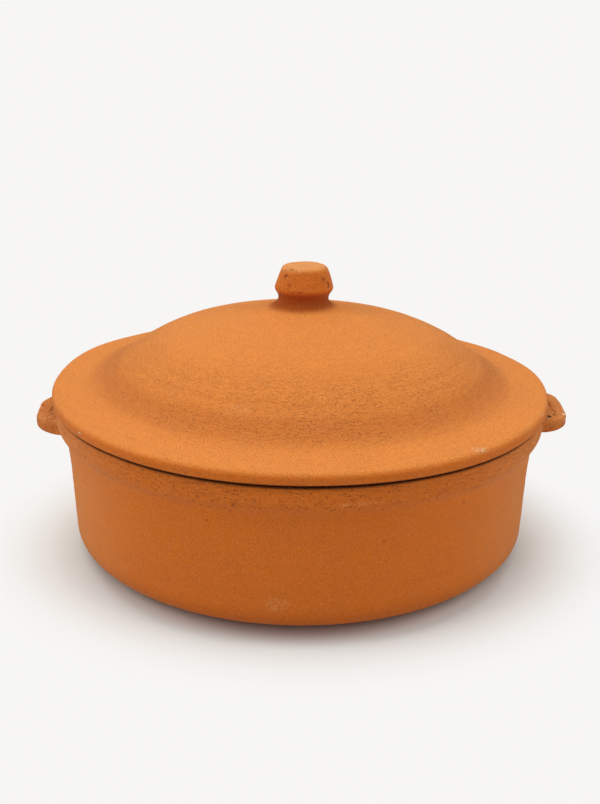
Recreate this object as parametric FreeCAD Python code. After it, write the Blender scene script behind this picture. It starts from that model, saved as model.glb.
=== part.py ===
import FreeCAD, Part

import math
import os

from FreeCAD import Vector

# A lidded clay casserole, thrown on a wheel and fired without glaze. It is two pieces:
# the pot, with the two lug ears that were luted to its rim before firing, and the domed
# lid with its knob, which only rests on the rim.
# Sizes are millimetres. +Z is up, and the origin is the middle of the base, on the floor.

# Pot body
pot_height = 92.0          # floor to the flat top of the rim
mouth_radius = 125.0       # inside of the rim
wall_thickness = 7.3       # side wall below the rim band
wall_draft = 0.8           # how far the wall leans in towards its foot
wall_flare = 1.5           # how far it opens again under the rim band
wall_flare_height = 18.0
floor_thickness = 8.0
inside_corner_round = 24.0
heel_height = 14.2         # top of the bevel trimmed round the foot
heel_inset = 26.0          # the base is this much smaller than the foot of the wall
heel_round = 7.0
base_round = 9.0

# Rim band, a thicker collar that stands out from the wall
band_projection = 6.5      # beyond the wall
band_height = 12.0
band_step = 4.6            # height of the hollow step from the band down to the wall
band_round = 3.2
step_round = 4.0
rim_outer_bevel = 1.8
rim_inner_bevel = 1.5

# Lug ears, one at each side, a little below the rim. They were luted on by eye, so they
# are not quite opposite each other.
right_ear_angle = -4.0     # from +X, degrees
left_ear_angle = 188.0
ear_drop = 6.5             # rim to the top of the ear
ear_projection = 13.5      # beyond the rim band
ear_thickness = 8.2        # where it leaves the rim band
ear_tip_thickness = 5.4
ear_tip_width = 51.0
ear_root_width = 56.0      # where the ear leaves the rim band
ear_flare = 5.0            # the clay smeared along the band at each end of an ear
ear_tip_round = 14.0
ear_root_round = 7.0
ear_edge_round = 2.2

# Lid
lid_overhang = 1.8         # the flange stands this much past the rim band
flange_thickness = 6.0     # at the outer edge
flange_top_round = 2.2     # outer edge, above
flange_lower_bevel = 1.3   # outer edge, below
valley_inset = 25.2        # lid edge to the crease where the dome starts
valley_height = 7.7        # top of the flange at the crease, above the seat
valley_round = 39.5
shoulder_run = 30.4        # crease to shoulder, measured inwards
shoulder_rise = 24.9       # crease to shoulder, measured upwards
shoulder_round = 86.0
crown_angle = 13.1         # slope of the crown up to the knob, degrees
lid_wall = 7.5
hollow_crown_radius = 24.0 # the underside levels out this near to the axis
hollow_crown_round = 60.0

# Register, the low ring under the lid that keeps it centred in the mouth
register_depth = 4.0
register_clearance = 2.0   # all round, between the ring and the mouth
register_bevel = 1.2

# Knob
knob_rise = 19.8           # above the point where the crown would meet the axis
knob_top_radius = 12.6
knob_top_round = 3.4
knob_belly_radius = 16.9
knob_belly_height = 6.2    # widest place, above the same point
knob_belly_round = 2.6
knob_waist_radius = 13.7
knob_waist_height = 1.6
knob_waist_round = 4.5
knob_foot_radius = 15.4
knob_foot_round = 9.0

# Sizes that follow from the ones above
wall_radius = mouth_radius + wall_thickness
wall_foot_radius = wall_radius - wall_draft
rim_radius = wall_radius + band_projection
lid_radius = rim_radius + lid_overhang
ear_reach = rim_radius + ear_projection
seat_height = pot_height
spare = 1.0                # how far one solid runs past another that it cuts or joins


def rounding_reaches(points, radii):
    """How far each corner's round runs along its two sides, and the tangent of half its turn."""
    count = len(points)
    reaches = []
    half_turns = []
    for i in range(count):
        before = (points[i] - points[i - 1]).normalize()
        after = (points[(i + 1) % count] - points[i]).normalize()
        turn = math.acos(max(-1.0, min(1.0, before.dot(after))))
        half_turns.append(math.tan(turn / 2))
        reaches.append(radii[i] * half_turns[i])
    for i in range(count):
        following = (i + 1) % count
        side = (points[following] - points[i]).Length
        wanted = reaches[i] + reaches[following]
        if wanted > side:
            reaches[i] *= side / wanted
            reaches[following] *= side / wanted
    return reaches, half_turns


def rounded_face(corners, place):
    """A flat face from corners (a, b, radius), with place(a, b) giving the point in space.

    Where a side is too short for the rounds at its two ends, they share it.
    """
    points = [place(a, b) for a, b, radius in corners]
    radii = [radius for a, b, radius in corners]
    reaches, half_turns = rounding_reaches(points, radii)
    count = len(points)
    edges = []
    starts = []
    ends = []
    arcs = []
    for i in range(count):
        corner = points[i]
        back = (points[i - 1] - corner).normalize()
        ahead = (points[(i + 1) % count] - corner).normalize()
        start = corner + back * reaches[i]
        end = corner + ahead * reaches[i]
        starts.append(start)
        ends.append(end)
        if reaches[i] > 1e-6:
            radius = reaches[i] / half_turns[i]
            inward = (back + ahead).normalize()
            to_centre = math.hypot(radius, reaches[i])
            arcs.append(Part.Arc(start, corner + inward * (to_centre - radius), end).toShape())
        else:
            arcs.append(None)
    for i in range(count):
        if arcs[i] is not None:
            edges.append(arcs[i])
        next_start = starts[(i + 1) % count]
        if (next_start - ends[i]).Length > 1e-6:
            edges.append(Part.LineSegment(ends[i], next_start).toShape())
    return Part.Face(Part.Wire(edges))


def turned(corners):
    """Spin an outline of (radius from the axis, height, rounding) round the Z axis."""
    face = rounded_face(corners, lambda radius, height: Vector(radius, 0, height))
    return face.revolve(Vector(0, 0, 0), Vector(0, 0, 1), 360)


def pot_outside():
    """The thrown body as if it were solid: base, trimmed heel, wall, step and rim band."""
    band_bottom = pot_height - band_height
    step_bottom = band_bottom - band_step
    return turned([
        (0, 0, 0),
        (wall_foot_radius - heel_inset, 0, base_round),
        (wall_foot_radius, heel_height, heel_round),
        (wall_radius, step_bottom - wall_flare_height, 0),
        (wall_radius + wall_flare, step_bottom, step_round),
        (rim_radius, band_bottom, band_round),
        (rim_radius, pot_height - rim_outer_bevel, 0),
        (rim_radius - rim_outer_bevel, pot_height, 0),
        (0, pot_height, 0),
    ])


def pot_hollow():
    """What is taken out of the body, with the lip of the mouth bevelled."""
    lip_radius = mouth_radius + rim_inner_bevel
    above_rim = pot_height + rim_inner_bevel
    return turned([
        (0, floor_thickness, 0),
        (mouth_radius - wall_draft, floor_thickness, inside_corner_round),
        (mouth_radius, pot_height - rim_inner_bevel, 0),
        (lip_radius, pot_height, 0),
        (lip_radius, above_rim, 0),
        (0, above_rim, 0),
    ])


def lug_ear():
    """One half-moon lug, lying along +X, with its root inside the wall."""
    middle = pot_height - ear_drop - ear_thickness / 2
    root_half = ear_root_width / 2
    tip_half = ear_tip_width / 2
    buried = mouth_radius - inside_corner_round / 2
    leaves_band = math.sqrt(rim_radius ** 2 - root_half ** 2)
    plan = rounded_face([
        (buried, -root_half - ear_flare, 0),
        (leaves_band - ear_flare, -root_half - ear_flare, 0),
        (leaves_band + spare, -root_half, ear_root_round),
        (ear_reach, -tip_half, ear_tip_round),
        (ear_reach, tip_half, ear_tip_round),
        (leaves_band + spare, root_half, ear_root_round),
        (leaves_band - ear_flare, root_half + ear_flare, 0),
        (buried, root_half + ear_flare, 0),
    ], lambda out, along: Vector(out, along, middle - ear_thickness))
    side = rounded_face([
        (buried, -ear_thickness / 2, 0),
        (leaves_band, -ear_thickness / 2, 0),
        (ear_reach + spare, -ear_tip_thickness / 2, 0),
        (ear_reach + spare, ear_tip_thickness / 2, 0),
        (leaves_band, ear_thickness / 2, 0),
        (buried, ear_thickness / 2, 0),
    ], lambda out, up: Vector(out, -ear_root_width, middle + up))
    # Seen from above the lug has its plan, and seen from the side it thins towards its tip.
    ear = plan.extrude(Vector(0, 0, 2 * ear_thickness)).common(side.extrude(Vector(0, 2 * ear_root_width, 0)))
    long_edges = [
        edge for edge in ear.Edges
        if edge.BoundBox.XMin > leaves_band - spare and edge.BoundBox.ZLength < ear_tip_thickness / 2
    ]
    return ear.makeFillet(min(ear_edge_round, 0.4 * ear_tip_thickness), long_edges)


def make_pot():
    body = pot_outside()
    for angle in (right_ear_angle, left_ear_angle):
        ear = lug_ear()
        ear.rotate(Vector(0, 0, 0), Vector(0, 0, 1), angle)
        body = body.fuse(ear)
    return body.cut(pot_hollow()).removeSplitter()


def make_lid():
    valley_radius = lid_radius - valley_inset
    shoulder_radius = valley_radius - shoulder_run
    shoulder_height = seat_height + valley_height + shoulder_rise
    crown = math.radians(crown_angle)
    flank = math.atan2(shoulder_rise, shoulder_run)
    crown_height = shoulder_height + shoulder_radius * math.tan(crown)

    # The underside keeps one wall's thickness from both slopes of the dome.
    inward_radius = math.sin(crown) + math.sin(flank)
    inward_height = math.cos(crown) + math.cos(flank)
    offset = lid_wall / (1 + math.cos(flank - crown))
    under_shoulder_radius = shoulder_radius - offset * inward_radius
    under_shoulder_height = shoulder_height - offset * inward_height
    register_bottom = seat_height - register_depth
    register_inner = under_shoulder_radius + (under_shoulder_height - register_bottom) / math.tan(flank)
    register_outer = mouth_radius - register_clearance
    hollow_run = under_shoulder_radius - hollow_crown_radius
    hollow_top = under_shoulder_height + hollow_run * math.tan(crown)

    knob_foot_height = crown_height - knob_foot_radius * math.tan(crown)
    return turned([
        (0, crown_height + knob_rise, 0),
        (knob_top_radius, crown_height + knob_rise, knob_top_round),
        (knob_belly_radius, crown_height + knob_belly_height, knob_belly_round),
        (knob_waist_radius, crown_height + knob_waist_height, knob_waist_round),
        (knob_foot_radius, knob_foot_height, knob_foot_round),
        (shoulder_radius, shoulder_height, shoulder_round),
        (valley_radius, seat_height + valley_height, valley_round),
        (lid_radius, seat_height + flange_thickness, flange_top_round),
        (lid_radius, seat_height + flange_lower_bevel, 0),
        (lid_radius - flange_lower_bevel, seat_height, 0),
        (register_outer, seat_height, 0),
        (register_outer, register_bottom + register_bevel, 0),
        (register_outer - register_bevel, register_bottom, 0),
        (register_inner, register_bottom, 0),
        (under_shoulder_radius, under_shoulder_height, shoulder_round - lid_wall),
        (hollow_crown_radius, hollow_top, hollow_crown_round),
        (0, hollow_top, 0),
    ])


os.makedirs("parts", exist_ok=True)
for node, shape in (("pot", make_pot()), ("lid", make_lid())):
    print(node, "valid", shape.isValid(), "solids", len(shape.Solids), "volume", round(shape.Volume))
    shape.exportStep("parts/" + node + ".step")
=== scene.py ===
import math

import bmesh
import bpy
import numpy as np
from mathutils import Euler, Matrix, Vector, noise


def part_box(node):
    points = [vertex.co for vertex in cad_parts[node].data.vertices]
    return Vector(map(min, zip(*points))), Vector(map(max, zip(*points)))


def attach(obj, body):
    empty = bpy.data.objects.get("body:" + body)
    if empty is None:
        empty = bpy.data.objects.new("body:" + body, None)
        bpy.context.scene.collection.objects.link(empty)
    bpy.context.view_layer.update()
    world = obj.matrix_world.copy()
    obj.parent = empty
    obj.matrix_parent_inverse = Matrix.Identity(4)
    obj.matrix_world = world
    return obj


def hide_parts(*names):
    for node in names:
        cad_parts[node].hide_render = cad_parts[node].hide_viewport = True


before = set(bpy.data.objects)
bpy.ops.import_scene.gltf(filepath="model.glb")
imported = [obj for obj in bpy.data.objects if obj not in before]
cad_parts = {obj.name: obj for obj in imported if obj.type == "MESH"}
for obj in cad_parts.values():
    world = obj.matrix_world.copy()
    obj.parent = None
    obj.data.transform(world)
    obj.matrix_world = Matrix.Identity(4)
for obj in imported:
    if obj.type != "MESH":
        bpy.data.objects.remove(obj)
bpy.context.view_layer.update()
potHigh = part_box("pot")[1]
mm = 0.001
print("frame loaded, nodes", sorted(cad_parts))


# Camera
# The photograph was fitted with the pot's own circles, so these are real distances in metres.

camera = {
    "place": (0.0, -0.5231, 0.26425),
    "lookDown": 19.18,      # degrees under level
    "roll": 0.56,           # degrees, the frame leans a little
    "lens": 42.2,
    "sensor": 36.0,         # mm, along the frame's long side
    "clipStart": 0.01,
}


def addCamera():
    data = bpy.data.cameras.new("camera")
    data.lens = camera["lens"]
    data.sensor_width = camera["sensor"]
    data.clip_start = camera["clipStart"]
    eye = bpy.data.objects.new("camera", data)
    bpy.context.scene.collection.objects.link(eye)
    turn = Euler((math.radians(90 - camera["lookDown"]), 0, 0)).to_matrix()
    turn = turn @ Euler((0, 0, math.radians(camera["roll"]))).to_matrix()
    eye.matrix_world = Matrix.Translation(camera["place"]) @ turn.to_4x4()
    bpy.context.scene.camera = eye


addCamera()
print("camera placed")


# Small helpers for edit mode

def startEdit(piece, mode="VERT"):
    bpy.ops.object.select_all(action="DESELECT")
    bpy.context.view_layer.objects.active = piece
    piece.select_set(True)
    bpy.ops.object.mode_set(mode="EDIT")
    bpy.ops.mesh.select_mode(type=mode)
    bpy.ops.mesh.select_all(action="DESELECT")


def endEdit():
    bpy.ops.object.mode_set(mode="OBJECT")


def pickVerts(piece, wanted):
    mesh = bmesh.from_edit_mesh(piece.data)
    for vert in mesh.verts:
        vert.select = wanted(vert.co)
    mesh.select_flush_mode()
    bmesh.update_edit_mesh(piece.data)


def pickEdges(piece, wanted):
    mesh = bmesh.from_edit_mesh(piece.data)
    for edge in mesh.edges:
        if wanted(edge.verts[0].co, edge.verts[1].co):
            edge.select_set(True)
    bmesh.update_edit_mesh(piece.data)


def pickLongEdges(piece, limit):
    bpy.ops.mesh.select_all(action="DESELECT")
    mesh = bmesh.from_edit_mesh(piece.data)
    longEdges = [edge for edge in mesh.edges if edge.calc_length() > limit(edge.verts[0].co)]
    for edge in longEdges:
        edge.select_set(True)
    bmesh.update_edit_mesh(piece.data)
    return len(longEdges) > 0


def applyAll(piece):
    bpy.context.view_layer.objects.active = piece
    for modifier in list(piece.modifiers):
        bpy.ops.object.modifier_apply(modifier=modifier.name)


# Thrown forms: half the section is drawn as a chain of points, its corners are rounded with a
# vertex bevel, long runs are divided, and the wheel's turn is a spin

wheel = {
    "spinSteps": 128,
    "roundSteps": 5,        # edges along each rounded corner
    "weld": 0.01,           # points nearer than this become one
}


def roundingReach(before, corner, after, radius):
    incoming = (corner - before).normalized()
    outgoing = (after - corner).normalized()
    return radius * math.tan(incoming.angle(outgoing) / 2)


def drawSection(name, corners, spacing):
    points = [Vector((r, 0, z)) * mm for r, z, radius in corners]
    bpy.ops.mesh.primitive_plane_add(size=mm, location=points[0])
    piece = bpy.context.object
    bpy.ops.object.transform_apply()
    piece.name = name
    startEdit(piece)
    bpy.ops.mesh.select_all(action="SELECT")
    bpy.ops.mesh.merge(type="CENTER")
    for here, there in zip(points, points[1:]):
        bpy.ops.mesh.extrude_region_move(TRANSFORM_OT_translate={"value": there - here})
    for i in range(1, len(points) - 1):
        radius = corners[i][2] * mm
        if radius > 0:
            reach = roundingReach(points[i - 1], points[i], points[i + 1], radius)
            pickVerts(piece, lambda co: (co - points[i]).length < 1e-6)
            bpy.ops.mesh.bevel(offset=reach, segments=wheel["roundSteps"], affect="VERTICES")
    while pickLongEdges(piece, spacing):
        bpy.ops.mesh.subdivide(number_cuts=1)
    return piece


def throwOnWheel(piece):
    bpy.ops.mesh.select_all(action="SELECT")
    bpy.ops.mesh.spin(steps=wheel["spinSteps"], angle=2 * math.pi, center=(0, 0, 0), axis=(0, 0, 1))
    bpy.ops.mesh.select_all(action="SELECT")
    bpy.ops.mesh.remove_doubles(threshold=wheel["weld"] * mm)
    bpy.ops.mesh.normals_make_consistent(inside=False)
    endEdit()
    smooth = piece.modifiers.new("smooth", "SUBSURF")
    smooth.levels = smooth.render_levels = 1
    applyAll(piece)


def smoothStep(low, high, value):
    t = np.clip((value - low) / (high - low), 0, 1)
    return t * t * (3 - 2 * t)


def readPoints(piece):
    points = np.empty(len(piece.data.vertices) * 3)
    piece.data.vertices.foreach_get("co", points)
    return points.reshape(-1, 3)


def readNormals(piece):
    normals = np.empty(len(piece.data.vertices) * 3)
    piece.data.vertices.foreach_get("normal", normals)
    return normals.reshape(-1, 3)


def writePoints(piece, points):
    piece.data.vertices.foreach_set("co", points.ravel())
    piece.data.update()


def noiseAt(points, scale, seed):
    # Each seed reads another part of the same noise
    offset = Vector((seed * 7.31, seed * 3.17, seed * 1.93))
    return np.array([noise.noise(Vector(p) * scale + offset) for p in points])


def ringNoise(points, around, across, seed):
    # Streaks that run round the axis: coarse round the pot, fine across the streaks
    radius = np.hypot(points[:, 0], points[:, 1])
    stretched = np.column_stack([points[:, 0] * around, points[:, 1] * around,
                                 (radius - points[:, 2]) * across])
    return noiseAt(stretched, 1.0, seed)


def press(points, centre, reach, push):
    # Thumb work: everything within reach moves, less towards the edge
    distance = np.linalg.norm((points - np.array(centre) * mm) / (np.array(reach) * mm), axis=1)
    weight = 1 - smoothStep(0, 1, distance)
    return points + weight[:, None] * np.array(push) * mm


# The lid dried on the pot, so the rim and the lid lean and twist together
warp = {
    "right": 0.438,     # degrees down to the right
    "front": 0.167,     # degrees down to the front
    "saddle": 0.45,     # sides up and front and back down, at the rim
    "atRadius": 140.0,
}


def warpLift(points):
    x, y = points[:, 0], points[:, 1]
    saddle = warp["saddle"] * mm * (x * x - y * y) / (warp["atRadius"] * mm) ** 2
    toFront = math.tan(math.radians(warp["front"]))
    toRight = math.tan(math.radians(warp["right"]))
    return saddle + y * toFront - x * toRight


# Pot

pot = {
    "height": potHigh.z / mm,
    "mouth": 125.0,
    "wall": 132.7,
    "draft": 1.2,
    "flare": 1.5,            # how far the wall opens again under the band
    "flareHeight": 18.0,
    "flareRound": 60.0,
    "floor": 8.0,
    "cornerRound": 24.0,
    "heelHeight": 14.2,
    "heelInset": 26.0,
    "heelRound": 7.0,
    "baseRound": 12.0,
    "bandRadius": 138.8,
    "bandHeight": 12.0,
    "bandRound": 5.0,
    "bandStep": 5.6,
    "stepRound": 8.0,
    "bandTopFall": 6.0,      # the band leans in towards the rim from this far down
    "bandTopInset": 0.9,
    "bandTopRound": 4.0,
    "rimOuterRound": 0.7,
    "grooveInset": 4.6,      # a groove runs round under the flange, this far in from the band
    "grooveRise": 0.6,
    "grooveRound": 0.5,
    "rimSlope": 1.9,         # the rim falls this much from its inner part to its outer edge
    "rimFlat": 6.5,          # the inner part, which the lid rests on
    "rimFlatRound": 0.8,
    "rimInnerRound": 1.5,
    "spacing": 3.2,          # longest run between points before the smoothing halves it
    "insideSpacing": 12.0,
    "rimSpacing": 1.2,
    "rimFineDepth": 4.0,     # how far below the rim that spacing reaches
    "outsideFrom": 130.0,    # from the axis: only clay further out than this is uneven
    "ridge": 0.14,           # height of the throwing lines
    "ridges": (9, 190, 1),   # how they wander round the pot, how close they lie, seed
    "fineRidges": (14, 520, 2),
    "fineRidge": 0.5,        # their height, as a share of the others
    "wobble": 0.35,          # how far the wall is out of round
    "wobbleAt": (11, 5),     # waves to a metre, seed
    "wobbleStretch": (1, 1, 0.4),
    "bandWander": 0.9,       # how far the band's lower edge runs up and down
    "bandWanderAt": (16, 4),
    "bandWanderBelow": 2.0,  # the middle of what wanders, below the band
    "bandWanderReach": 7.0,
    "rimTiltStarts": 55.0,   # height where the rim's lean starts to show
    "rimTiltWhole": 80.0,
    "rimSink": 1.0,          # the outer edge sagged further at the sides
    "rimSinkDepths": (8.0, 2.0),    # below the rim: where the sag starts to show, where it is whole
}

# Both lugs were cut from a slab and pressed on by eye, so each has its own size and place
rightEar = {
    "turn": -4.0,            # degrees from the X axis
    "reach": 151.2,          # from the pot's axis to the tip
    "width": 55.0,
    "top": -4.9,             # from the rim
    "thickness": 8.2,
    "tipThickness": 6.6,
    "cornerRound": 16.0,
    "dish": 2.6,
    "tipBow": 0.4,           # the tip bulges outwards
    "dishReach": (8, 17, 9),
    "unevenness": 0.30,
    "seed": 3,
}
leftEar = {
    "turn": 188.0,
    "reach": 149.2,
    "width": 51.0,
    "top": -8.3,
    "thickness": 8.4,
    "tipThickness": 6.2,
    "cornerRound": 17.0,
    "dish": 2.8,
    "tipBow": 0.4,
    "dishReach": (8, 15, 9),
    "unevenness": 0.30,
    "seed": 8,
}
lug = {
    "buried": 129.0,         # where a lug's inner end lies, inside the wall
    "edgeRound": 1.3,
    "cornerSteps": 8,
    "edgeSteps": 3,
    "evenSize": 0.9,         # mesh size of the worked clay
    "softening": 0.5,
    "softenings": 2,
    "dishOut": 4.0,          # the thumb's place, out from the band and above the lug's middle
    "dishUp": 3.0,
    "upperSkin": 2.0,        # the thumb moves what lies this far above the middle
    "lumps": 130,            # to a metre
    "bowFall": 1.6,          # the corners stay this much behind the tip's bulge
}
slack = 1.0                  # margin of a selection by place, and of a place's soft edge
levelRise = 0.1              # most that a level edge may rise


def potCorners():
    top = pot["height"]
    foot = pot["wall"] - pot["draft"]
    bandBottom = top - pot["bandHeight"]
    rimEdge = top - pot["rimSlope"]
    return [
        (0, 0, 0),
        (foot - pot["heelInset"], 0, pot["baseRound"]),
        (foot, pot["heelHeight"], pot["heelRound"]),
        (pot["wall"], bandBottom - pot["bandStep"] - pot["flareHeight"], pot["flareRound"]),
        (pot["wall"] + pot["flare"], bandBottom - pot["bandStep"], pot["stepRound"]),
        (pot["bandRadius"], bandBottom, pot["bandRound"]),
        (pot["bandRadius"], top - pot["bandTopFall"], pot["bandTopRound"]),
        (pot["bandRadius"] - pot["bandTopInset"], rimEdge, pot["rimOuterRound"]),
        (pot["bandRadius"] - pot["grooveInset"], rimEdge + pot["grooveRise"], pot["grooveRound"]),
        (pot["mouth"] + pot["rimFlat"], top, pot["rimFlatRound"]),
        (pot["mouth"], top, pot["rimInnerRound"]),
        (pot["mouth"] - pot["draft"], pot["floor"], pot["cornerRound"]),
        (0, pot["floor"], 0),
    ]


def potSpacing(co):
    if co.z > (pot["height"] - pot["rimFineDepth"]) * mm and co.x > pot["wall"] * mm:
        return pot["rimSpacing"] * mm
    inside = co.x < (pot["mouth"] - slack) * mm
    return (pot["insideSpacing"] if inside else pot["spacing"]) * mm


def makeEar(name, ear):
    # A lug cut from a slab: corners rounded in plan, edges softened, then thinned to its tip
    length = ear["reach"] - lug["buried"]
    middle = pot["height"] + ear["top"] - ear["thickness"] / 2
    bpy.ops.mesh.primitive_cube_add(size=1, location=((lug["buried"] + length / 2) * mm, 0, middle * mm))
    piece = bpy.context.object
    piece.name = name
    piece.scale = (length * mm, ear["width"] * mm, ear["thickness"] * mm)
    bpy.ops.object.transform_apply(location=True, rotation=True, scale=True)
    startEdit(piece, "EDGE")
    tip = (ear["reach"] - slack) * mm
    pickEdges(piece, lambda a, b: min(a.x, b.x) > tip and abs(a.z - b.z) > slack * mm)
    bpy.ops.mesh.bevel(offset=ear["cornerRound"] * mm, segments=lug["cornerSteps"], affect="EDGES")
    inner = (lug["buried"] + slack) * mm
    pickEdges(piece, lambda a, b: max(a.x, b.x) > inner and abs(a.z - b.z) < levelRise * mm)
    bpy.ops.mesh.bevel(offset=lug["edgeRound"] * mm, segments=lug["edgeSteps"], affect="EDGES")
    endEdit()
    even = piece.modifiers.new("even", "REMESH")
    even.mode = "VOXEL"
    even.voxel_size = lug["evenSize"] * mm
    soft = piece.modifiers.new("soft", "SMOOTH")
    soft.factor = lug["softening"]
    soft.iterations = lug["softenings"]
    applyAll(piece)
    points = readPoints(piece)
    out = np.clip((points[:, 0] / mm - pot["bandRadius"]) / (ear["reach"] - pot["bandRadius"]), 0, 1)
    thinning = 1 - ear["tipThickness"] / ear["thickness"]
    points[:, 2] = middle * mm + (points[:, 2] - middle * mm) * (1 - thinning * out)
    # A thumb dished the top, so a soft lip is left round the outside
    upper = smoothStep(middle * mm, (middle + lug["upperSkin"]) * mm, points[:, 2])
    thumb = (pot["bandRadius"] + lug["dishOut"], 0, middle + lug["dishUp"])
    dished = press(points, thumb, ear["dishReach"], (0, 0, -ear["dish"]))
    points += (dished - points) * upper[:, None]
    lumps = noiseAt(points, lug["lumps"], ear["seed"]) * ear["unevenness"] * mm
    points += readNormals(piece) * lumps[:, None]
    across = points[:, 1] / (ear["width"] / 2 * mm)
    points[:, 0] += (1 - lug["bowFall"] * across ** 2) * out * ear["tipBow"] * mm
    writePoints(piece, points)
    piece.data.transform(Matrix.Rotation(math.radians(ear["turn"]), 4, "Z"))
    return piece


def lute(piece, ear):
    # The lug becomes one with the pot
    join = piece.modifiers.new("lute", "BOOLEAN")
    join.operation = "UNION"
    join.solver = "EXACT"
    join.object = ear
    applyAll(piece)
    bpy.data.objects.remove(ear)


def makePot():
    piece = drawSection("clay_pot", potCorners(), potSpacing)
    throwOnWheel(piece)
    points = readPoints(piece)
    fromAxis = np.hypot(points[:, 0], points[:, 1])
    outside = smoothStep(pot["outsideFrom"] * mm, (pot["outsideFrom"] + slack) * mm, fromAxis)
    ridges = ringNoise(points, *pot["ridges"]) + pot["fineRidge"] * ringNoise(points, *pot["fineRidges"])
    outOfRound = noiseAt(points * pot["wobbleStretch"], *pot["wobbleAt"])
    push = (ridges * pot["ridge"] + outOfRound * pot["wobble"]) * outside * mm
    points += readNormals(piece) * push[:, None]
    bandEdge = (pot["height"] - pot["bandHeight"] - pot["bandWanderBelow"]) * mm
    nearEdge = 1 - smoothStep(0, pot["bandWanderReach"] * mm, abs(points[:, 2] - bandEdge))
    points[:, 2] += nearEdge * outside * noiseAt(points, *pot["bandWanderAt"]) * pot["bandWander"] * mm
    writePoints(piece, points)
    lute(piece, makeEar("right_ear", rightEar))
    lute(piece, makeEar("left_ear", leftEar))
    points = readPoints(piece)
    tilted = smoothStep(pot["rimTiltStarts"] * mm, pot["rimTiltWhole"] * mm, points[:, 2])
    points[:, 2] += warpLift(points) * tilted
    starts, whole = [(pot["height"] - depth) * mm for depth in pot["rimSinkDepths"]]
    fromAxis = np.hypot(points[:, 0], points[:, 1])
    sunk = smoothStep(starts, whole, points[:, 2])
    sunk *= smoothStep((pot["mouth"] + pot["rimFlat"]) * mm, pot["bandRadius"] * mm, fromAxis)
    points[:, 2] -= sunk * pot["rimSink"] * mm * (points[:, 0] / (pot["bandRadius"] * mm)) ** 2
    writePoints(piece, points)
    return piece


potPiece = makePot()
print("pot thrown,", len(potPiece.data.polygons), "faces")


# Lid

lid = {
    "radius": 140.3,
    "flange": 6.0,
    "edgeRound": 2.8,
    "lowerEdgeRound": 0.5,
    "valleyInset": 24.9,
    "valleyHeight": 7.7,
    "valleyRound": 39.5,
    "shoulderRun": 30.4,
    "shoulderRise": 24.9,
    "shoulderRound": 86.0,
    "crownSlope": 13.1,      # degrees
    "wallThickness": 7.5,
    "underInset": 2.7,       # the underside's shoulder, from the one above
    "underDrop": 7.1,
    "hollowCrown": 24.0,
    "hollowCrownRound": 60.0,
    "registerOuter": 123.0,
    "registerDepth": 4.0,
    "registerRound": 1.2,
    "knobRise": 19.1,
    "knobTop": 12.3,
    "knobTopRound": 3.2,
    "knobBelly": 16.9,
    "knobBellyHeight": 6.2,
    "knobBellyRound": 2.6,
    "knobWaist": 13.7,
    "knobWaistHeight": 1.6,
    "knobWaistRound": 4.5,
    "knobFoot": 15.4,
    "knobFootRound": 9.0,
    "spacing": 3.0,
    "underSpacing": 12.0,    # on the underside and close to the axis
    "underBelow": 0.5,       # what lies this far below the seat is underside
    "plainMiddle": 10.0,
    "edgeSpacing": 1.3,
    "edgeFineDepth": 4.0,    # how far in from the edge that spacing reaches
    "crownShift": 1.2,       # the dome sits to the right of the flange's middle
    "shiftEnds": 4.0,        # this far in from the edge
    "knobLean": 0.9,         # further right, at the knob's top
    "knobHeights": (48.0, 72.0),    # above the seat: where its lean starts, where it is whole
    "skin": (1.0, 4.0),      # above the seat: where the pushes below start, where they are whole
    "flangeHigh": ((-130, 45, 98), (42, 58, 30), (-0.4, 0.2, 1.0)),    # place, reach, push
    "flangeLow": ((102, 96, 98), (48, 48, 30), (0, 0, -0.8)),
    "flangeRight": ((138, 8, 98), (26, 50, 30), (0.2, 0, 0.9)),
    "crownRight": ((42, 0, 138), (48, 70, 30), (0, 0, 0.65)),
    "crownLeft": ((-72, 0, 124), (40, 60, 30), (0, 0, 0.40)),
    "flangeFrom": (118.0, 132.0),   # from the axis: where the flange's own unevenness takes over
    "ridge": 0.16,
    "ridges": (8, 170, 11),
    "flangeWander": 0.30,
    "flangeWanderAt": (14, 12),
    "knobLumps": 0.75,
    "knobLumpsAt": (75, 13),
    "knobReach": 20.0,
}


def lidCorners():
    seat = pot["height"]
    valley = lid["radius"] - lid["valleyInset"]
    shoulder = valley - lid["shoulderRun"]
    shoulderHeight = seat + lid["valleyHeight"] + lid["shoulderRise"]
    slope = math.tan(math.radians(lid["crownSlope"]))
    crown = shoulderHeight + shoulder * slope
    flank = math.atan2(lid["shoulderRise"], lid["shoulderRun"])
    underShoulder = shoulder - lid["underInset"]
    underHeight = shoulderHeight - lid["underDrop"]
    hollowTop = underHeight + (underShoulder - lid["hollowCrown"]) * slope
    registerBottom = seat - lid["registerDepth"]
    registerInner = underShoulder + (underHeight - registerBottom) / math.tan(flank)
    return [
        (0, crown + lid["knobRise"], 0),
        (lid["knobTop"], crown + lid["knobRise"], lid["knobTopRound"]),
        (lid["knobBelly"], crown + lid["knobBellyHeight"], lid["knobBellyRound"]),
        (lid["knobWaist"], crown + lid["knobWaistHeight"], lid["knobWaistRound"]),
        (lid["knobFoot"], crown - lid["knobFoot"] * slope, lid["knobFootRound"]),
        (shoulder, shoulderHeight, lid["shoulderRound"]),
        (valley, seat + lid["valleyHeight"], lid["valleyRound"]),
        (lid["radius"], seat + lid["flange"], lid["edgeRound"]),
        (lid["radius"], seat, lid["lowerEdgeRound"]),
        (lid["registerOuter"], seat, 0),
        (lid["registerOuter"], registerBottom, lid["registerRound"]),
        (registerInner, registerBottom, lid["registerRound"]),
        (underShoulder, underHeight, lid["shoulderRound"] - lid["wallThickness"]),
        (lid["hollowCrown"], hollowTop, lid["hollowCrownRound"]),
        (0, hollowTop, 0),
    ]


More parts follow.
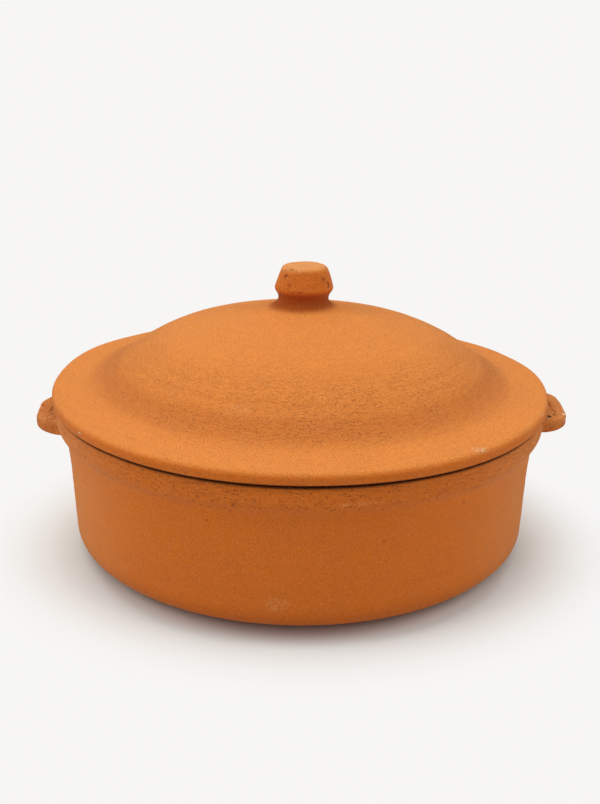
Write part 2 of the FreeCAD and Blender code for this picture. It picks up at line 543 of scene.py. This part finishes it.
def lidSpacing(co):
    if co.x > (lid["radius"] - lid["edgeFineDepth"]) * mm:
        return lid["edgeSpacing"] * mm
    plain = co.z < (pot["height"] - lid["underBelow"]) * mm or co.x < lid["plainMiddle"] * mm
    return (lid["underSpacing"] if plain else lid["spacing"]) * mm


def makeLid():
    piece = drawSection("clay_lid", lidCorners(), lidSpacing)
    throwOnWheel(piece)
    points = readPoints(piece)
    seat = pot["height"]
    radius = np.hypot(points[:, 0], points[:, 1])
    domeFoot = lid["radius"] - 2 * lid["valleyInset"]
    onDome = 1 - smoothStep(domeFoot * mm, (lid["radius"] - lid["shiftEnds"]) * mm, radius)
    onKnob = smoothStep(*[(seat + height) * mm for height in lid["knobHeights"]], points[:, 2])
    points[:, 0] += (onDome * lid["crownShift"] + onKnob * lid["knobLean"]) * mm
    above = smoothStep(*[(seat + height) * mm for height in lid["skin"]], points[:, 2])[:, None]
    for part in ("flangeHigh", "flangeLow", "flangeRight", "crownRight", "crownLeft"):
        points += (press(points, *lid[part]) - points) * above
    onFlange = smoothStep(*[out * mm for out in lid["flangeFrom"]], np.hypot(points[:, 0], points[:, 1]))
    aboveSeat = smoothStep(seat * mm, (seat + 2 * slack) * mm, points[:, 2])
    ridges = ringNoise(points, *lid["ridges"]) * (1 - onFlange) * aboveSeat * (1 - onKnob)
    uneven = noiseAt(points, *lid["flangeWanderAt"]) * onFlange
    lumps = noiseAt(points, *lid["knobLumpsAt"]) * onKnob * (radius < lid["knobReach"] * mm)
    push = ridges * lid["ridge"] + uneven * lid["flangeWander"] + lumps * lid["knobLumps"]
    points += readNormals(piece) * (push * mm)[:, None]
    points[:, 2] += warpLift(points)
    writePoints(piece, points)
    return piece


lidPiece = makeLid()
print("lid thrown,", len(lidPiece.data.polygons), "faces")


# Clay

clay = {
    "wall": (0.75, 0.180, 0.017),      # the fired body, where it faces sideways
    "top": (0.80, 0.255, 0.047),       # painted light: paler where it faces up, as if lit from above
    "facingUp": (0.1, 0.95),           # how far a face looks up before the painted top light shows and is whole
    "roughness": (0.74, 0.95),
    "roughnessShows": (0.3, 0.7),      # it follows the mottle
    "specular": 0.22,
    "sheen": 0.28,
    "sheenRoughness": 0.4,
    "sheenTint": (1.0, 0.62, 0.28),    # clay dust, which brightens what is seen along the surface
    "blotch": (17.0, 0.055),           # soft clouds from the kiln: how many to a metre, how strong
    "mottle": (75.0, 0.06),
    "grain": (2000.0, 1.05),
    "grainOnTop": 0.75,
    "streaks": (22.0, 430.0, 0.055),   # round the pot, across the streaks, how strong
    "redder": (0.6, 1.3),              # powers of red and blue: darker clay is redder clay
    "worn": 0.12,                      # how worn the clay is outside the zones
    "patches": (40.0, 0.65, 1.1),      # to a metre, least and most of what they let through
    "patchesShow": (0.36, 0.62),       # where in the noise they start and where they are whole
    "drags": (210.0, 2000.0, 0.24),    # grit dragged by the potter's rib: as the streaks
    "dragsShow": (0.54, 0.70),
    "bigPores": (380.0, 0.24),         # cells to a metre, the part of a cell that is pore
    "smallPores": (760.0, 0.22),
    "smallPoreShare": 0.60,
    "poreFlatness": 1.7,               # pores lie along the wall
    "poreStrength": 0.64,
    "grit": (640.0, 0.20, 0.32),       # cells to a metre, part of a cell, how strong
    "speckCore": 0.6,                  # the part of a pore or grain that is fully there
    "lumps": 420.0,                    # to a metre
    "markEdge": (0.45, 1.0),           # from a mark's middle out: where it starts to fade, where it ends
    "markBreaks": (0.42, 0.60),        # where in the grain its edge breaks up
    "poreColour": (0.27, 0.045, 0.004),
    "gritColour": (0.93, 0.50, 0.20),
    "duskColour": (0.42, 0.080, 0.006),
    # painted shade in the gap under the lid's flange
    "creviceShadeColour": (0.10, 0.018, 0.002),
    # painted light on the pot's sides and on the knob's top
    "paintedLightColour": (0.92, 0.50, 0.20),
    # painted shade on the lugs
    "lugShadeColour": (0.62, 0.14, 0.012),
    "relief": {                        # height of each in mm, up or down
        "grain": 0.24,
        "lumps": 0.10,
        "streaks": 0.10,
        "drags": -0.17,
        "pores": -0.32,
        "grit": 0.08,
    },
}


def feed(tree, socket, value):
    if isinstance(value, bpy.types.NodeSocket):
        tree.links.new(value, socket)
    else:
        socket.default_value = value


def calc(tree, operation, first, second=0.0):
    step = tree.nodes.new("ShaderNodeMath")
    step.operation = operation
    feed(tree, step.inputs[0], first)
    feed(tree, step.inputs[1], second)
    return step.outputs[0]


def plus(tree, total, field, share):
    return calc(tree, "ADD", total, calc(tree, "MULTIPLY", field, share))


def between(tree, value, low, high, start=0.0, end=1.0):
    step = tree.nodes.new("ShaderNodeMapRange")
    step.interpolation_type = "SMOOTHSTEP"
    feed(tree, step.inputs["Value"], value)
    for name, number in (("From Min", low), ("From Max", high), ("To Min", start), ("To Max", end)):
        step.inputs[name].default_value = number
    return step.outputs["Result"]


def blend(tree, share, first, second, way="MIX"):
    step = tree.nodes.new("ShaderNodeMix")
    step.data_type = "RGBA"
    step.blend_type = way
    for socket, value in ((step.inputs[0], share), (step.inputs[6], first), (step.inputs[7], second)):
        feed(tree, socket, (*value, 1) if isinstance(value, tuple) else value)
    return step.outputs[2]


def joinAxes(tree, x, y, z):
    step = tree.nodes.new("ShaderNodeCombineXYZ")
    for socket, value in zip(step.inputs, (x, y, z)):
        feed(tree, socket, value)
    return step.outputs[0]


def clouds(tree, vector, scale, detail=2.0):
    step = tree.nodes.new("ShaderNodeTexNoise")
    feed(tree, step.inputs["Vector"], vector)
    step.inputs["Scale"].default_value = scale
    step.inputs["Detail"].default_value = detail
    return step.outputs[0]


def specks(tree, vector, scale, size):
    # Round spots: how many cells to a metre, and how much of a cell each spot fills
    step = tree.nodes.new("ShaderNodeTexVoronoi")
    feed(tree, step.inputs["Vector"], vector)
    step.inputs["Scale"].default_value = scale
    return between(tree, step.outputs["Distance"], size * clay["speckCore"], size, 1.0, 0.0)


def within(tree, value, low, high, soft):
    return calc(tree, "MULTIPLY", between(tree, value, low - soft, low + soft),
                between(tree, value, high - soft, high + soft, 1.0, 0.0))


def scuff(tree, vector, mark):
    # How strongly one mark shows here: whole at its middle, broken up by the grain at its edge
    away = tree.nodes.new("ShaderNodeVectorMath")
    away.operation = "SUBTRACT"
    feed(tree, away.inputs[0], vector)
    away.inputs[1].default_value = [value * mm for value in mark["place"]]
    shrink = tree.nodes.new("ShaderNodeVectorMath")
    shrink.operation = "DIVIDE"
    feed(tree, shrink.inputs[0], away.outputs[0])
    shrink.inputs[1].default_value = [value * mm for value in mark["reach"]]
    length = tree.nodes.new("ShaderNodeVectorMath")
    length.operation = "LENGTH"
    feed(tree, length.inputs[0], shrink.outputs[0])
    inside = between(tree, length.outputs["Value"], *clay["markEdge"], mark["strength"], 0.0)
    if mark["grain"] == 0:
        return inside
    broken = between(tree, clouds(tree, vector, mark["grain"], detail=3.0), *clay["markBreaks"])
    return calc(tree, "MULTIPLY", inside, broken)


def clayMaterial(name, seed, zones, marks):
    material = bpy.data.materials.new(name)
    material.use_nodes = True
    tree = material.node_tree
    shader = tree.nodes["Principled BSDF"]
    shader.inputs["Specular IOR Level"].default_value = clay["specular"]
    shader.inputs["Sheen Weight"].default_value = clay["sheen"]
    shader.inputs["Sheen Roughness"].default_value = clay["sheenRoughness"]
    shader.inputs["Sheen Tint"].default_value = (*clay["sheenTint"], 1)
    coords = tree.nodes.new("ShaderNodeTexCoord")
    # Pot and lid read different parts of the same noise
    shifted = tree.nodes.new("ShaderNodeMapping")
    shifted.inputs["Location"].default_value = (seed * 0.31, seed * 0.17, 0)
    feed(tree, shifted.inputs["Vector"], coords.outputs["Object"])
    plain = shifted.outputs[0]
    place = tree.nodes.new("ShaderNodeSeparateXYZ")
    feed(tree, place.inputs[0], coords.outputs["Object"])
    x, y, z = place.outputs
    radius = calc(tree, "SQRT", plus(tree, calc(tree, "MULTIPLY", x, x), y, y))
    across = calc(tree, "SUBTRACT", radius, z)
    # The height on the pot before it leaned, and the distance out to the side
    leanX = calc(tree, "MULTIPLY", x, math.tan(math.radians(warp["right"])))
    leanY = calc(tree, "MULTIPLY", y, math.tan(math.radians(warp["front"])))
    measures = {
        "radius": radius,
        "height": z,
        "level": calc(tree, "ADD", z, calc(tree, "SUBTRACT", leanX, leanY)),
        "side": calc(tree, "ABSOLUTE", x),
    }

    def ringVector(around, sideways):
        return joinAxes(tree, calc(tree, "MULTIPLY", x, around), calc(tree, "MULTIPLY", y, around),
                        calc(tree, "MULTIPLY", across, sideways))

    facing = tree.nodes.new("ShaderNodeSeparateXYZ")
    feed(tree, facing.inputs[0], coords.outputs["Normal"])
    # Painted light: faces that look up take the paler top colour, as if lit from above
    facingUp = between(tree, facing.outputs[2], *clay["facingUp"])
    colour = blend(tree, facingUp, clay["wall"], clay["top"])

    # Kiln clouds, mottling, throwing streaks and grain all lighten and darken the same clay
    blotch = clouds(tree, plain, clay["blotch"][0])
    mottle = clouds(tree, plain, clay["mottle"][0], detail=4.0)
    streaks = clouds(tree, ringVector(*clay["streaks"][:2]), 1.0, detail=3.0)
    drags = clouds(tree, ringVector(*clay["drags"][:2]), 1.0)
    grain = clouds(tree, plain, clay["grain"][0], detail=3.0)
    grainDepth = plus(tree, clay["grain"][1], facingUp, clay["grainOnTop"])
    shade = plus(tree, 1.0, calc(tree, "SUBTRACT", grain, 0.5), grainDepth)
    depths = ((blotch, clay["blotch"][1]), (mottle, clay["mottle"][1]), (streaks, clay["streaks"][2]))
    for field, depth in depths:
        shade = plus(tree, shade, calc(tree, "SUBTRACT", field, 0.5), 2 * depth)
    red, blue = [calc(tree, "POWER", shade, power) for power in clay["redder"]]
    colour = blend(tree, 1.0, colour, joinAxes(tree, red, shade, blue), "MULTIPLY")

    # Zones: pores and dragged grit are thicker in them, and each has its tint, which in some is painted shade
    # or painted light
    worn = clay["worn"]
    for zone in zones:
        field = within(tree, measures[zone["along"]], zone["from"] * mm, zone["to"] * mm, zone["soft"] * mm)
        if "outside" in zone:
            outside = between(tree, radius, (zone["outside"] - slack) * mm, zone["outside"] * mm)
            field = calc(tree, "MULTIPLY", field, outside)
        if "above" in zone:
            heights = within(tree, z, zone["above"] * mm, zone["below"] * mm, 2 * slack * mm)
            field = calc(tree, "MULTIPLY", field, heights)
        worn = plus(tree, worn, field, zone["rough"])
        tint = calc(tree, "MULTIPLY", field, zone["dusk"])
        colour = blend(tree, tint, colour, clay[zone.get("colour", "duskColour")])
    patches = between(tree, clouds(tree, plain, clay["patches"][0]), *clay["patchesShow"],
                      *clay["patches"][1:])
    patchy = calc(tree, "MULTIPLY", worn, patches)
    dragged = calc(tree, "MULTIPLY", between(tree, drags, *clay["dragsShow"]), patchy)
    colour = blend(tree, calc(tree, "MULTIPLY", dragged, clay["drags"][2]), colour, clay["duskColour"])
    flattened = ringVector(1.0, clay["poreFlatness"])
    bigPores = calc(tree, "MULTIPLY", specks(tree, flattened, *clay["bigPores"]),
                    calc(tree, "MINIMUM", patchy, 1.0))
    smallPores = calc(tree, "MULTIPLY", specks(tree, flattened, *clay["smallPores"]), clay["smallPoreShare"])
    pores = calc(tree, "MAXIMUM", bigPores, smallPores)
    colour = blend(tree, calc(tree, "MULTIPLY", pores, clay["poreStrength"]), colour, clay["poreColour"])
    grit = specks(tree, joinAxes(tree, y, z, x), *clay["grit"][:2])
    colour = blend(tree, calc(tree, "MULTIPLY", grit, clay["grit"][2]), colour, clay["gritColour"])
    raised = 0.0
    for mark in marks:
        shown = scuff(tree, coords.outputs["Object"], mark)
        colour = blend(tree, shown, colour, mark["colour"])
        raised = plus(tree, raised, shown, mark["height"])
    feed(tree, shader.inputs["Base Color"], colour)
    roughness = between(tree, mottle, *clay["roughnessShows"], *clay["roughness"])
    feed(tree, shader.inputs["Roughness"], roughness)

    # Relief in millimetres
    fields = {
        "lumps": clouds(tree, plain, clay["lumps"]),
        "streaks": streaks,
        "drags": dragged,
        "pores": pores,
        "grit": grit,
    }
    relief = calc(tree, "MULTIPLY", grain, clay["relief"]["grain"])
    for name, field in fields.items():
        relief = plus(tree, relief, field, clay["relief"][name])
    relief = calc(tree, "ADD", relief, raised)
    bump = tree.nodes.new("ShaderNodeBump")
    bump.inputs["Strength"].default_value = 1.0
    bump.inputs["Distance"].default_value = mm
    feed(tree, bump.inputs["Height"], relief)
    feed(tree, shader.inputs["Normal"], bump.outputs[0])
    return material


# Where the clay is worn or tinted, and where painted shade and painted light go: what is measured, from where
# to where and how soft, how much more worn it is and how strong the tint is, which is the dusk colour unless
# another is named
potZones = [
    {"along": "height", "from": 75, "to": 95, "soft": 3, "outside": 130, "rough": 0.95, "dusk": 0.08},
    # Painted shade: these two zones darken the heel and the lower wall towards the floor
    {"along": "height", "from": -5, "to": 19, "soft": 6, "outside": 90, "rough": 0.2, "dusk": 0.45},
    {"along": "height", "from": -30, "to": 26, "soft": 20, "outside": 90, "rough": 0.0, "dusk": 0.12},
    # Painted light: the pot's sides paler, as where side light falls on them
    {"along": "side", "from": 105, "to": 200, "soft": 36, "rough": 0.0, "dusk": 0.21, "colour": "paintedLightColour"},
    # Painted shade: the band just under the lid's flange, dark as the gap's shadow
    {"along": "level", "from": 89.3, "to": 96, "soft": 0.8, "outside": 130, "rough": 0.2, "dusk": 0.92,
     "colour": "creviceShadeColour"},
    # Painted shade: the lugs darker under the lid's flange, and their lower part darker still
    {"along": "radius", "from": 140.5, "to": 160, "soft": 1.5, "rough": 0.3, "dusk": 0.22,
     "colour": "lugShadeColour"},
    {"along": "height", "from": 60, "to": 82.0, "soft": 1.2, "outside": 141, "rough": 0.2, "dusk": 0.60,
     "colour": "lugShadeColour"},
]
lidZones = [
    {"along": "radius", "from": 80, "to": 118, "soft": 8, "above": 93, "below": 130,
     "rough": 0.50, "dusk": 0.04},
    # Painted shade: the valley at the dome's foot darker
    {"along": "radius", "from": 102, "to": 117, "soft": 6, "above": 93, "below": 110,
     "rough": 0.1, "dusk": 0.29},
    # Painted shade: the flange's underside and lower edge, dark as the gap's shadow
    {"along": "level", "from": 80, "to": 92.1, "soft": 0.3, "outside": 110, "rough": 0.2, "dusk": 0.90,
     "colour": "creviceShadeColour"},
    # The flange edge's lower half is worn, and its darker tint is painted shade
    {"along": "level", "from": 91, "to": 95, "soft": 1.2, "outside": 137.5, "rough": 0.5, "dusk": 0.14},
    # Painted shade: the knob's neck dark where it meets the dome
    {"along": "radius", "from": -1, "to": 19, "soft": 3, "above": 140, "below": 150,
     "rough": 0.1, "dusk": 1.0},
    {"along": "radius", "from": -1, "to": 18, "soft": 2, "above": 150, "below": 162,
     "rough": 0.45, "dusk": 0.16},
    # Painted light: the knob's top paler, as a highlight
    {"along": "radius", "from": -1, "to": 13, "soft": 2, "above": 161, "below": 175,
     "rough": 0.0, "dusk": 0.30, "colour": "paintedLightColour"},
]

chipClay = (0.97, 0.66, 0.38)
rubbedClay = (0.90, 0.42, 0.14)
# near black: painted shade inside the hole on the right lug
holeShade = (0.05, 0.010, 0.001)
freshClay = (1.0, 0.90, 0.72)


def mark(place, reach, strength, colour, height, grain=900):
    # One mark that the photo shows, with its place, reach and relief in mm. The grain, to a metre,
    # breaks its edge up, and at 0 it is whole
    return {"place": place, "reach": reach, "strength": strength, "colour": colour, "height": height,
            "grain": grain}


potMarks = [
    mark((-10, -131, 26), (8, 6, 5), 0.36, rubbedClay, -0.35, 1100),
    mark((28, -136, 81), (17, 6, 1.3), 0.30, rubbedClay, 0.1),
    mark((-43, -126, 68), (1.4, 2, 1.2), 0.8, clay["poreColour"], -0.3, 500),
    mark((40, -126, 57), (1.3, 2, 1.1), 0.8, clay["poreColour"], -0.3, 500),
    mark((80, -107, 69), (1.2, 2, 1.0), 0.7, clay["poreColour"], -0.3, 500),
    # Right ear: a hole by the band with its dark painted in as shade, a crease along the lip and a fresh chip
    # at the tip
    mark((138.6, -30.5, 85.6), (1.5, 2.2, 2.5), 1.0, holeShade, -0.6, 0),
    mark((142.5, -27.0, 85.4), (1.4, 2.6, 2.6), 1.0, clay["poreColour"], -0.4, 1300),
    mark((144.0, -18.0, 84.5), (1.0, 8.5, 3.0), 1.0, clay["poreColour"], -0.5, 1300),
    mark((145.0, -5.0, 84.0), (0.9, 7.0, 3.0), 1.0, clay["poreColour"], -0.5, 1300),
    mark((147.9, -25.0, 84.8), (1.1, 1.8, 1.6), 1.0, freshClay, -0.1, 0),
    mark((147.6, -28.0, 83.0), (2.2, 3.0, 2.2), 0.8, chipClay, -0.1, 700),
    # Left ear: pits where it meets the band
    mark((-141.5, -16.0, 82.5), (1.6, 8.0, 3.0), 1.0, clay["poreColour"], -0.5, 1200),
    mark((-138.0, -31.0, 83.5), (1.6, 6.0, 3.0), 1.0, clay["poreColour"], -0.5, 1200),
    mark((-136.0, -39.5, 83.8), (2.8, 2.4, 2.0), 0.9, clay["poreColour"], -0.5, 900),
    mark((-147.0, -14.0, 83.0), (0.8, 1.2, 2.0), 0.9, clay["poreColour"], -0.4, 0),
    mark((-126.0, -57.8, 85.3), (1.0, 1.0, 0.8), 0.9, clay["poreColour"], -0.4, 0),
    mark((-122.0, -65.5, 86.3), (2.4, 2.6, 1.8), 0.8, clay["poreColour"], -0.4, 500),
]
lidMarks = [
    mark((87, -109, 97), (7, 4, 2.0), 0.60, chipClay, -0.25, 1000),
    mark((-109, -88, 95.5), (3.0, 3.0, 0.9), 0.9, chipClay, -0.2, 1200),
    mark((-30, -96, 111), (12, 5, 5), 0.22, rubbedClay, -0.15, 1000),
    mark((127.6, -56, 97), (4, 4, 3), 0.5, rubbedClay, -0.1),
    # Knob: two strings of pits on its left, a crease on its right
    mark((-8.6, -9.7, 159.0), (1.6, 1.6, 2.8), 0.9, clay["poreColour"], -0.4, 700),
    mark((-7.0, -13.4, 154.0), (1.6, 1.6, 3.4), 0.8, clay["poreColour"], -0.4, 700),
    mark((-4.8, -10.4, 162.9), (3.6, 1.6, 0.9), 0.8, clay["poreColour"], -0.3, 700),
    mark((12.2, -10.2, 158.0), (2.0, 1.6, 3.0), 0.8, clay["poreColour"], -0.4, 600),
    mark((14.8, -8.6, 154.2), (1.7, 1.8, 2.4), 0.9, clay["poreColour"], -0.4, 500),
    mark((-2.6, -16.0, 151.2), (5.0, 2.0, 0.8), 0.7, clay["poreColour"], -0.3, 600),
    mark((-0.7, -12.7, 162.2), (1.2, 1.0, 0.7), 0.9, chipClay, 0.1, 300),
]
potPiece.data.materials.append(clayMaterial("pot clay", 1, potZones, potMarks))
lidPiece.data.materials.append(clayMaterial("lid clay", 2, lidZones, lidMarks))

for piece, node in ((potPiece, "pot"), (lidPiece, "lid")):
    bpy.ops.object.select_all(action="DESELECT")
    bpy.context.view_layer.objects.active = piece
    piece.select_set(True)
    bpy.ops.object.shade_smooth()
    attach(piece, "root")
    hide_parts(node)
print("clay given")


# Studio

studio = {
    "background": (0.93, 0.922, 0.91),
    "worldLight": 0.26,
    "overhead": ((-0.2, 0.30, 1.9), 2.2, 22.5),    # place, size, watts
    "left": ((-1.6, -0.65, 1.35), 1.1, 14.5),
    "right": ((1.5, -0.65, 1.35), 1.1, 12.0),
    "aim": (0, 0, 0.08),
    "floorSize": 12,
    "floorColour": (0.93, 0.95, 0.905),
    "floorBounce": (0.72, 0.72, 0.72),             # what the pot gets back from it
    "contactShadowColour": (0.12, 0.117, 0.095),            # painted contact shadow: a dark ring on the floor under the base
    "under": (0.110, 0.129),                       # from the axis: where the painted contact shadow starts to fade, where it ends
    "underScale": (0.96, 1.13, 1),                 # it is wider from left to right than from front to back
    "fade": (0.119, 0.192),                        # where the floor's shadow passes into the background
}


def addFloor():
    bpy.ops.mesh.primitive_plane_add(size=studio["floorSize"], location=(0, 0, 0))
    floor = bpy.context.object
    floor.name = "floor"
    material = bpy.data.materials.new("floor")
    material.use_nodes = True
    tree = material.node_tree
    tree.nodes.clear()
    output = tree.nodes.new("ShaderNodeOutputMaterial")
    paper = tree.nodes.new("ShaderNodeBsdfDiffuse")
    plain = tree.nodes.new("ShaderNodeEmission")
    plain.inputs["Color"].default_value = (*studio["background"], 1)
    seen = tree.nodes.new("ShaderNodeLightPath").outputs["Is Camera Ray"]
    coords = tree.nodes.new("ShaderNodeTexCoord")
    flattened = tree.nodes.new("ShaderNodeMapping")
    flattened.inputs["Scale"].default_value = studio["underScale"]
    feed(tree, flattened.inputs["Vector"], coords.outputs["Object"])
    reach = tree.nodes.new("ShaderNodeVectorMath")
    reach.operation = "LENGTH"
    feed(tree, reach.inputs[0], flattened.outputs[0])
    away = reach.outputs["Value"]
    clear = blend(tree, seen, studio["floorBounce"], studio["floorColour"])
    # Painted contact shadow: the paper darkens in a ring under the base
    under = between(tree, away, *studio["under"])
    feed(tree, paper.inputs["Color"], blend(tree, under, studio["contactShadowColour"], clear))
    # Further out the camera sees the plain background, and the lamps' light still comes back up
    mix = tree.nodes.new("ShaderNodeMixShader")
    feed(tree, mix.inputs[0], calc(tree, "MULTIPLY", between(tree, away, *studio["fade"]), seen))
    feed(tree, mix.inputs[1], paper.outputs[0])
    feed(tree, mix.inputs[2], plain.outputs[0])
    feed(tree, output.inputs["Surface"], mix.outputs[0])
    floor.data.materials.append(material)


def addWorld():
    world = bpy.data.worlds.new("world")
    world.use_nodes = True
    bpy.context.scene.world = world
    tree = world.node_tree
    tree.nodes.clear()
    output = tree.nodes.new("ShaderNodeOutputWorld")
    light = tree.nodes.new("ShaderNodeBackground")
    light.inputs["Color"].default_value = (1, 1, 1, 1)
    light.inputs["Strength"].default_value = studio["worldLight"]
    plain = tree.nodes.new("ShaderNodeBackground")
    plain.inputs["Color"].default_value = (*studio["background"], 1)
    mix = tree.nodes.new("ShaderNodeMixShader")
    feed(tree, mix.inputs[0], tree.nodes.new("ShaderNodeLightPath").outputs["Is Camera Ray"])
    feed(tree, mix.inputs[1], light.outputs[0])
    feed(tree, mix.inputs[2], plain.outputs[0])
    feed(tree, output.inputs["Surface"], mix.outputs[0])


def addLamp(name, place, size, power):
    data = bpy.data.lights.new(name, "AREA")
    data.size = size
    data.energy = power
    lamp = bpy.data.objects.new(name, data)
    lamp.location = place
    lamp.rotation_euler = (Vector(studio["aim"]) - Vector(place)).to_track_quat("-Z", "Y").to_euler()
    bpy.context.scene.collection.objects.link(lamp)


addFloor()
addWorld()
for name in ("overhead", "left", "right"):
    addLamp(name, *studio[name])
bpy.context.scene.view_settings.view_transform = "Standard"
print("studio lit")
